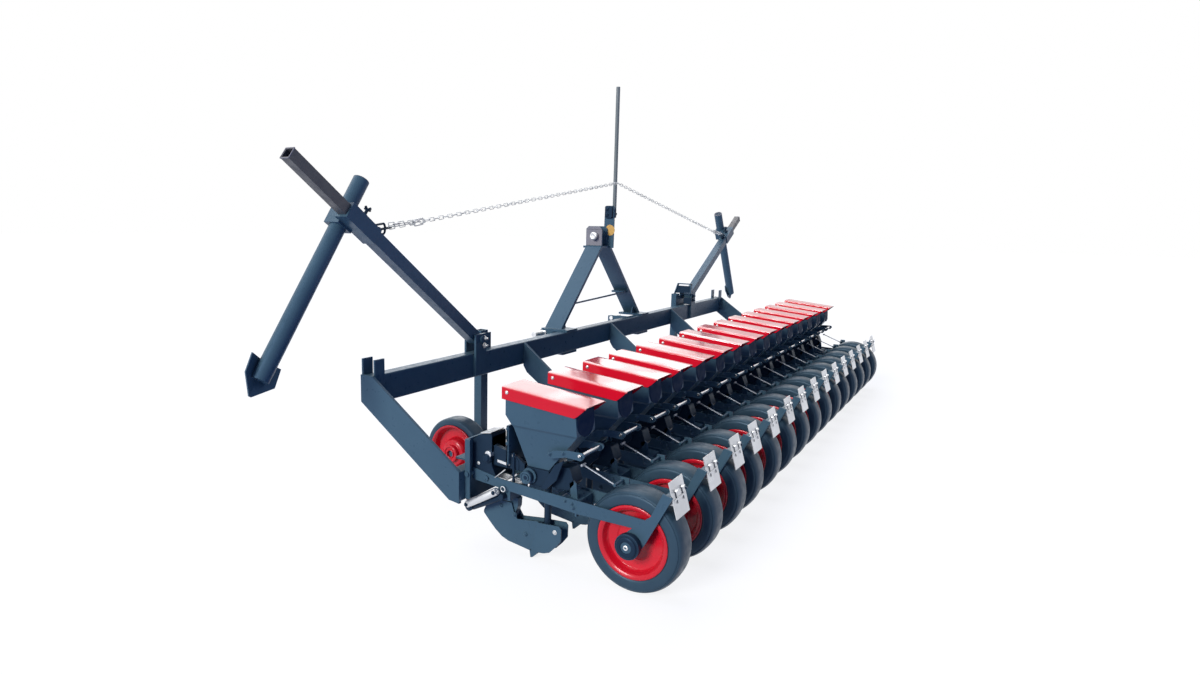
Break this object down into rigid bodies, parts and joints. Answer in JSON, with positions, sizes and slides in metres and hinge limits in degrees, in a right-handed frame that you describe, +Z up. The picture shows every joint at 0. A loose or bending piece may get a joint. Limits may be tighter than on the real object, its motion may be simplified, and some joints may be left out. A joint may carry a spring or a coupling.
{
  "type": "vegetable seeder",
  "caption": "Three-point-mounted precision vegetable seeder: a row of hopper units with lids, shoe openers and press wheels on a two-bar frame with drive wheels and folding row markers",
  "frame": {"origin": "on the ground under the middle of the machine's bounding box", "axes": "+X is the machine's right along the toolbars, +Y is the travel direction, +Z is up"},
  "size_m": [4.7578, 1.419, 1.884],
  "materials": {
    "blue_paint": "gloss dark slate blue",
    "red_paint": "gloss red",
    "zinc_plate": "bright zinc plating",
    "black_paint": "satin black",
    "smooth_tyre": "smooth black rubber",
    "black_plastic": "matt black plastic",
    "clear_plastic": "clear plastic sheet",
    "chrome_rod": "bright plated rod"
  },
  "bodies": {
    "machine": {"depth_rods": "chrome_rod", "drive_shaft": "zinc_plate", "frame_plates": "blue_paint", "front_toolbar": "blue_paint", "handles": "blue_paint", "headstock": "blue_paint", "hitch_pins": "zinc_plate", "hopper_windows": "clear_plastic", "hoppers": "blue_paint", "marker_brackets": "blue_paint", "marker_chains": "zinc_plate", "mast": "blue_paint", "metering_units": "black_paint", "openers": "blue_paint", "press_forks": "blue_paint", "rear_toolbar": "blue_paint", "scraper_plates": "zinc_plate", "seed_tubes": "black_plastic", "springs": "zinc_plate", "unit_arms": "blue_paint", "unit_brackets": "blue_paint", "wheel_legs": "blue_paint"},
    "press_wheel_1_body": {"press_wheel_1": "smooth_tyre"},
    "press_wheel_2_body": {"press_wheel_2": "smooth_tyre"},
    "press_wheel_3_body": {"press_wheel_3": "smooth_tyre"},
    "press_wheel_4_body": {"press_wheel_4": "smooth_tyre"},
    "press_wheel_5_body": {"press_wheel_5": "smooth_tyre"},
    "press_wheel_6_body": {"press_wheel_6": "smooth_tyre"},
    "press_wheel_7_body": {"press_wheel_7": "smooth_tyre"},
    "press_wheel_8_body": {"press_wheel_8": "smooth_tyre"},
    "press_wheel_9_body": {"press_wheel_9": "smooth_tyre"},
    "press_wheel_10_body": {"press_wheel_10": "smooth_tyre"},
    "press_wheel_11_body": {"press_wheel_11": "smooth_tyre"},
    "press_wheel_12_body": {"press_wheel_12": "smooth_tyre"},
    "press_wheel_13_body": {"press_wheel_13": "smooth_tyre"},
    "press_wheel_14_body": {"press_wheel_14": "smooth_tyre"},
    "press_wheel_15_body": {"press_wheel_15": "smooth_tyre"},
    "lid_1_body": {"lid_1": "red_paint"},
    "lid_2_body": {"lid_2": "red_paint"},
    "lid_3_body": {"lid_3": "red_paint"},
    "lid_4_body": {"lid_4": "red_paint"},
    "lid_5_body": {"lid_5": "red_paint"},
    "lid_6_body": {"lid_6": "red_paint"},
    "lid_7_body": {"lid_7": "red_paint"},
    "lid_8_body": {"lid_8": "red_paint"},
    "lid_9_body": {"lid_9": "red_paint"},
    "lid_10_body": {"lid_10": "red_paint"},
    "lid_11_body": {"lid_11": "red_paint"},
    "lid_12_body": {"lid_12": "red_paint"},
    "lid_13_body": {"lid_13": "red_paint"},
    "lid_14_body": {"lid_14": "red_paint"},
    "lid_15_body": {"lid_15": "red_paint"},
    "drive_wheel_left_body": {"drive_wheel_left": "smooth_tyre"},
    "drive_wheel_right_body": {"drive_wheel_right": "smooth_tyre"},
    "marker_left_body": {"marker_arm_left": "blue_paint", "marker_tube_left": "blue_paint", "marker_leg_left": "blue_paint"},
    "marker_right_body": {"marker_arm_right": "blue_paint", "marker_tube_right": "blue_paint", "marker_leg_right": "blue_paint"}
  },
  "joints": [
    {"name": "press_wheel_1_spin", "type": "hinge", "parent": "machine", "child": "press_wheel_1_body", "pos_m": [-1.808, -0.55, 0.165], "axis": [1, 0, 0], "continuous": true},
    {"name": "press_wheel_2_spin", "type": "hinge", "parent": "machine", "child": "press_wheel_2_body", "pos_m": [-1.524, -0.55, 0.165], "axis": [1, 0, 0], "continuous": true},
    {"name": "press_wheel_3_spin", "type": "hinge", "parent": "machine", "child": "press_wheel_3_body", "pos_m": [-1.269, -0.55, 0.165], "axis": [1, 0, 0], "continuous": true},
    {"name": "press_wheel_4_spin", "type": "hinge", "parent": "machine", "child": "press_wheel_4_body", "pos_m": [-1.05, -0.55, 0.165], "axis": [1, 0, 0], "continuous": true},
    {"name": "press_wheel_5_spin", "type": "hinge", "parent": "machine", "child": "press_wheel_5_body", "pos_m": [-0.788, -0.55, 0.165], "axis": [1, 0, 0], "continuous": true},
    {"name": "press_wheel_6_spin", "type": "hinge", "parent": "machine", "child": "press_wheel_6_body", "pos_m": [-0.538, -0.55, 0.165], "axis": [1, 0, 0], "continuous": true},
    {"name": "press_wheel_7_spin", "type": "hinge", "parent": "machine", "child": "press_wheel_7_body", "pos_m": [-0.288, -0.55, 0.165], "axis": [1, 0, 0], "continuous": true},
    {"name": "press_wheel_8_spin", "type": "hinge", "parent": "machine", "child": "press_wheel_8_body", "pos_m": [-0.038, -0.55, 0.165], "axis": [1, 0, 0], "continuous": true},
    {"name": "press_wheel_9_spin", "type": "hinge", "parent": "machine", "child": "press_wheel_9_body", "pos_m": [0.212, -0.55, 0.165], "axis": [1, 0, 0], "continuous": true},
    {"name": "press_wheel_10_spin", "type": "hinge", "parent": "machine", "child": "press_wheel_10_body", "pos_m": [0.462, -0.55, 0.165], "axis": [1, 0, 0], "continuous": true},
    {"name": "press_wheel_11_spin", "type": "hinge", "parent": "machine", "child": "press_wheel_11_body", "pos_m": [0.712, -0.55, 0.165], "axis": [1, 0, 0], "continuous": true},
    {"name": "press_wheel_12_spin", "type": "hinge", "parent": "machine", "child": "press_wheel_12_body", "pos_m": [0.962, -0.55, 0.165], "axis": [1, 0, 0], "continuous": true},
    {"name": "press_wheel_13_spin", "type": "hinge", "parent": "machine", "child": "press_wheel_13_body", "pos_m": [1.212, -0.55, 0.165], "axis": [1, 0, 0], "continuous": true},
    {"name": "press_wheel_14_spin", "type": "hinge", "parent": "machine", "child": "press_wheel_14_body", "pos_m": [1.462, -0.55, 0.165], "axis": [1, 0, 0], "continuous": true},
    {"name": "press_wheel_15_spin", "type": "hinge", "parent": "machine", "child": "press_wheel_15_body", "pos_m": [1.712, -0.55, 0.165], "axis": [1, 0, 0], "continuous": true},
    {"name": "lid_1_hinge", "type": "hinge", "parent": "machine", "child": "lid_1_body", "pos_m": [-1.808, -0.091, 0.576], "axis": [-1, 0, 0], "range_deg": [0, 105]},
    {"name": "lid_2_hinge", "type": "hinge", "parent": "machine", "child": "lid_2_body", "pos_m": [-1.524, -0.091, 0.576], "axis": [-1, 0, 0], "range_deg": [0, 105]},
    {"name": "lid_3_hinge", "type": "hinge", "parent": "machine", "child": "lid_3_body", "pos_m": [-1.269, -0.091, 0.576], "axis": [-1, 0, 0], "range_deg": [0, 105]},
    {"name": "lid_4_hinge", "type": "hinge", "parent": "machine", "child": "lid_4_body", "pos_m": [-1.05, -0.091, 0.576], "axis": [-1, 0, 0], "range_deg": [0, 105]},
    {"name": "lid_5_hinge", "type": "hinge", "parent": "machine", "child": "lid_5_body", "pos_m": [-0.788, -0.091, 0.576], "axis": [-1, 0, 0], "range_deg": [0, 105]},
    {"name": "lid_6_hinge", "type": "hinge", "parent": "machine", "child": "lid_6_body", "pos_m": [-0.538, -0.091, 0.576], "axis": [-1, 0, 0], "range_deg": [0, 105]},
    {"name": "lid_7_hinge", "type": "hinge", "parent": "machine", "child": "lid_7_body", "pos_m": [-0.288, -0.091, 0.576], "axis": [-1, 0, 0], "range_deg": [0, 105]},
    {"name": "lid_8_hinge", "type": "hinge", "parent": "machine", "child": "lid_8_body", "pos_m": [-0.038, -0.091, 0.576], "axis": [-1, 0, 0], "range_deg": [0, 105]},
    {"name": "lid_9_hinge", "type": "hinge", "parent": "machine", "child": "lid_9_body", "pos_m": [0.212, -0.091, 0.576], "axis": [-1, 0, 0], "range_deg": [0, 105]},
    {"name": "lid_10_hinge", "type": "hinge", "parent": "machine", "child": "lid_10_body", "pos_m": [0.462, -0.091, 0.576], "axis": [-1, 0, 0], "range_deg": [0, 105]},
    {"name": "lid_11_hinge", "type": "hinge", "parent": "machine", "child": "lid_11_body", "pos_m": [0.712, -0.091, 0.576], "axis": [-1, 0, 0], "range_deg": [0, 105]},
    {"name": "lid_12_hinge", "type": "hinge", "parent": "machine", "child": "lid_12_body", "pos_m": [0.962, -0.091, 0.576], "axis": [-1, 0, 0], "range_deg": [0, 105]},
    {"name": "lid_13_hinge", "type": "hinge", "parent": "machine", "child": "lid_13_body", "pos_m": [1.212, -0.091, 0.576], "axis": [-1, 0, 0], "range_deg": [0, 105]},
    {"name": "lid_14_hinge", "type": "hinge", "parent": "machine", "child": "lid_14_body", "pos_m": [1.462, -0.091, 0.576], "axis": [-1, 0, 0], "range_deg": [0, 105]},
    {"name": "lid_15_hinge", "type": "hinge", "parent": "machine", "child": "lid_15_body", "pos_m": [1.712, -0.091, 0.576], "axis": [-1, 0, 0], "range_deg": [0, 105]},
    {"name": "drive_wheel_left_spin", "type": "hinge", "parent": "machine", "child": "drive_wheel_left_body", "pos_m": [-1.404, 0.493, 0.148], "axis": [1, 0, 0], "continuous": true},
    {"name": "drive_wheel_right_spin", "type": "hinge", "parent": "machine", "child": "drive_wheel_right_body", "pos_m": [1.328, 0.493, 0.148], "axis": [1, 0, 0], "continuous": true},
    {"name": "marker_left_swing", "type": "hinge", "parent": "machine", "child": "marker_left_body", "pos_m": [-1.282, 0.505, 0.622], "axis": [0, 1, 0], "range_deg": [-30, 48], "deforming": ["marker_chains"]},
    {"name": "marker_right_swing", "type": "hinge", "parent": "machine", "child": "marker_right_body", "pos_m": [1.206, 0.505, 0.622], "axis": [0, -1, 0], "range_deg": [-25, 56], "deforming": ["marker_chains"]}
  ]
}
